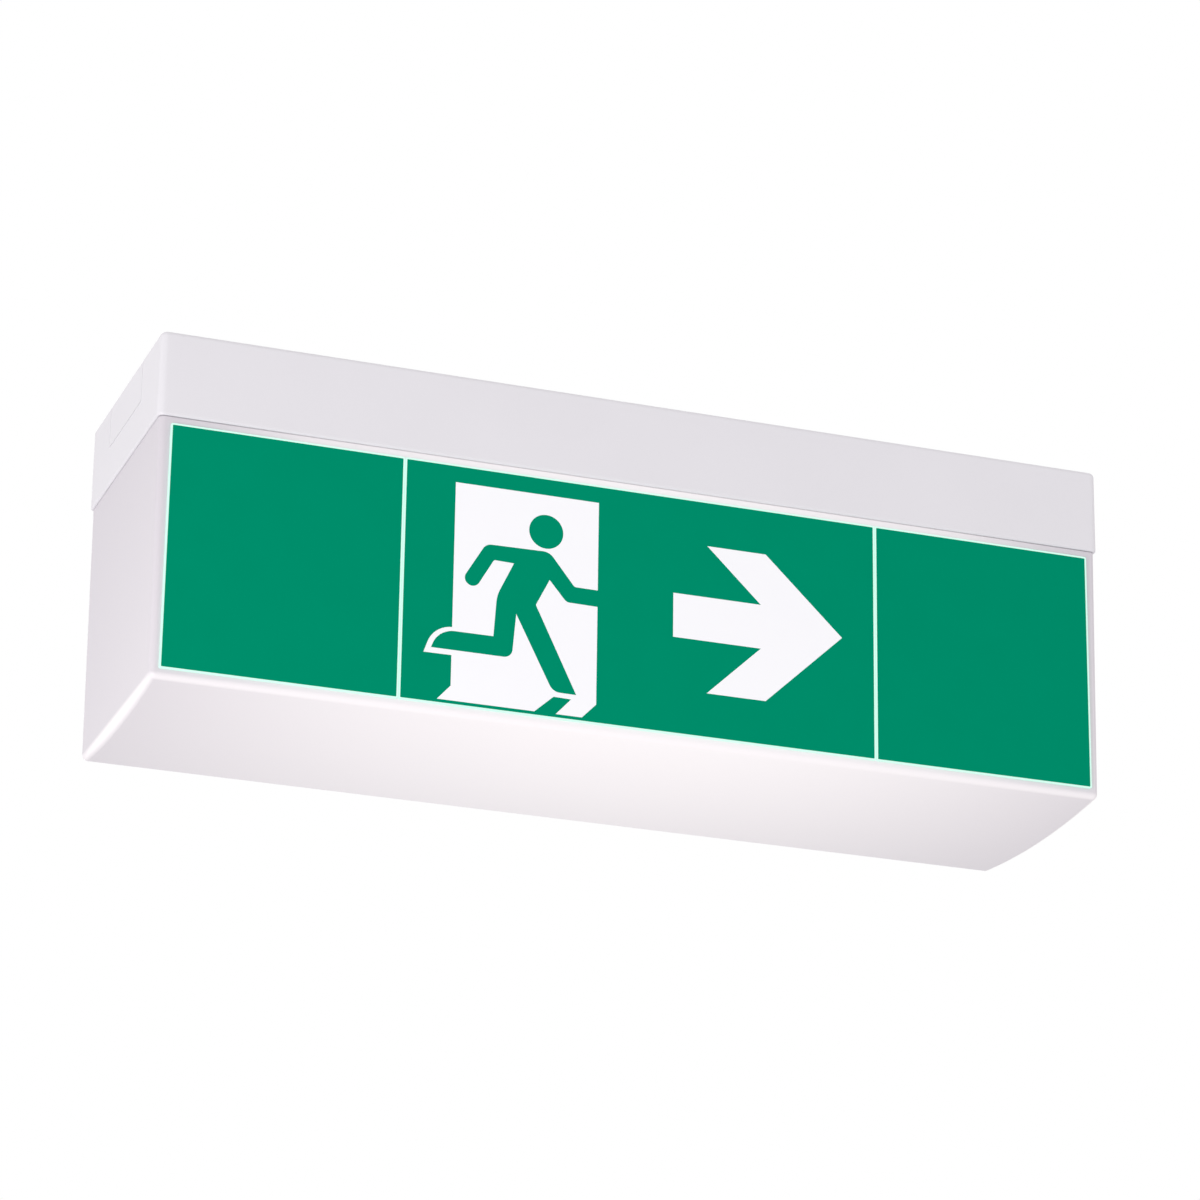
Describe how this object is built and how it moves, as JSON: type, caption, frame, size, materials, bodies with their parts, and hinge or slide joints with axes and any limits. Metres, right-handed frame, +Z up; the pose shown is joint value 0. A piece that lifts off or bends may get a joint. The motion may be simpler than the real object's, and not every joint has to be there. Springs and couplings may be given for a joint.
{
  "type": "emergency exit light",
  "caption": "Ceiling-fixed emergency exit light: grey base with the gear and battery inside, opal diffuser that drops off, green running-man sign on the front.",
  "frame": {"origin": "middle of the face that lies against the ceiling, centre of the four fixing slots", "axes": "+Z up to the ceiling, +X along the light, -Y the side that carries the sign"},
  "size_m": [0.4056, 0.112, 0.147],
  "materials": {
    "base_shell": "satin",
    "grommet_rubber": "matte",
    "terminal_polyamide": "matte",
    "zinc_plate": "satin",
    "white_enamel": "satin",
    "led_board_mask": "matte",
    "led_phosphor": "gloss",
    "connector_nylon": "matte",
    "circuit_board": "satin",
    "ferrite": "matte",
    "winding_tape": "satin",
    "capacitor_sleeve": "gloss",
    "relay_case": "satin",
    "film_capacitor_case": "gloss",
    "battery_sleeve": "gloss",
    "clip_polyamide": "matte",
    "clear_lens": "gloss",
    "button_plastic": "satin",
    "spring_steel": "satin",
    "choke_sleeve": "satin",
    "varistor_coat": "satin",
    "tinned_brass": "satin",
    "white_pvc": "satin",
    "black_pvc": "satin",
    "red_pvc": "satin",
    "brown_pvc": "satin",
    "blue_pvc": "satin",
    "green_yellow_pvc": "satin",
    "grey_pvc": "satin",
    "opal_plastic": "satin",
    "sign_green": "satin"
  },
  "bodies": {
    "base": {"base_housing": "base_shell", "cable_grommet": "grommet_rubber", "terminal_block": "terminal_polyamide", "terminal_screws": "zinc_plate", "gear_tray": "white_enamel", "tray_screws": "zinc_plate", "led_board_left": "led_board_mask", "led_board_right": "led_board_mask", "led_chips": "led_phosphor", "led_plugs": "connector_nylon", "board_rivets": "connector_nylon", "driver_board": "circuit_board", "board_standoffs": "connector_nylon", "transformer_core": "ferrite", "transformer_winding": "winding_tape", "capacitors": "capacitor_sleeve", "relay": "relay_case", "film_capacitor": "film_capacitor_case", "driver_headers": "connector_nylon", "battery_pack": "battery_sleeve", "battery_clips": "clip_polyamide", "indicator_board": "circuit_board", "key_switch": "relay_case", "status_lens": "clear_lens", "button_spring": "spring_steel", "cover_clips": "spring_steel", "choke": "choke_sleeve", "varistor": "varistor_coat", "lead_plugs": "connector_nylon", "earth_tab": "tinned_brass", "led_lead_right": "white_pvc", "led_lead_left": "white_pvc", "battery_lead_black": "black_pvc", "battery_lead_red": "red_pvc", "supply_lead_brown": "brown_pvc", "supply_lead_blue": "blue_pvc", "earth_lead": "green_yellow_pvc", "indicator_lead": "grey_pvc"},
    "button": {"test_button": "button_plastic"},
    "cover": {"diffuser": "opal_plastic", "legend_left": "sign_green", "legend_centre": "sign_green", "legend_right": "sign_green"}
  },
  "joints": [
    {"name": "diffuser_drop", "type": "slide", "parent": "base", "child": "cover", "axis": [0, 0, -1], "range_m": [0, 0.12]},
    {"name": "test_button_press", "type": "slide", "parent": "base", "child": "button", "axis": [-1, 0, 0], "range_m": [0, 0.0015], "stiffness_N_per_m": 400, "springref_m": -0.001, "deforming": ["button_spring"]}
  ]
}
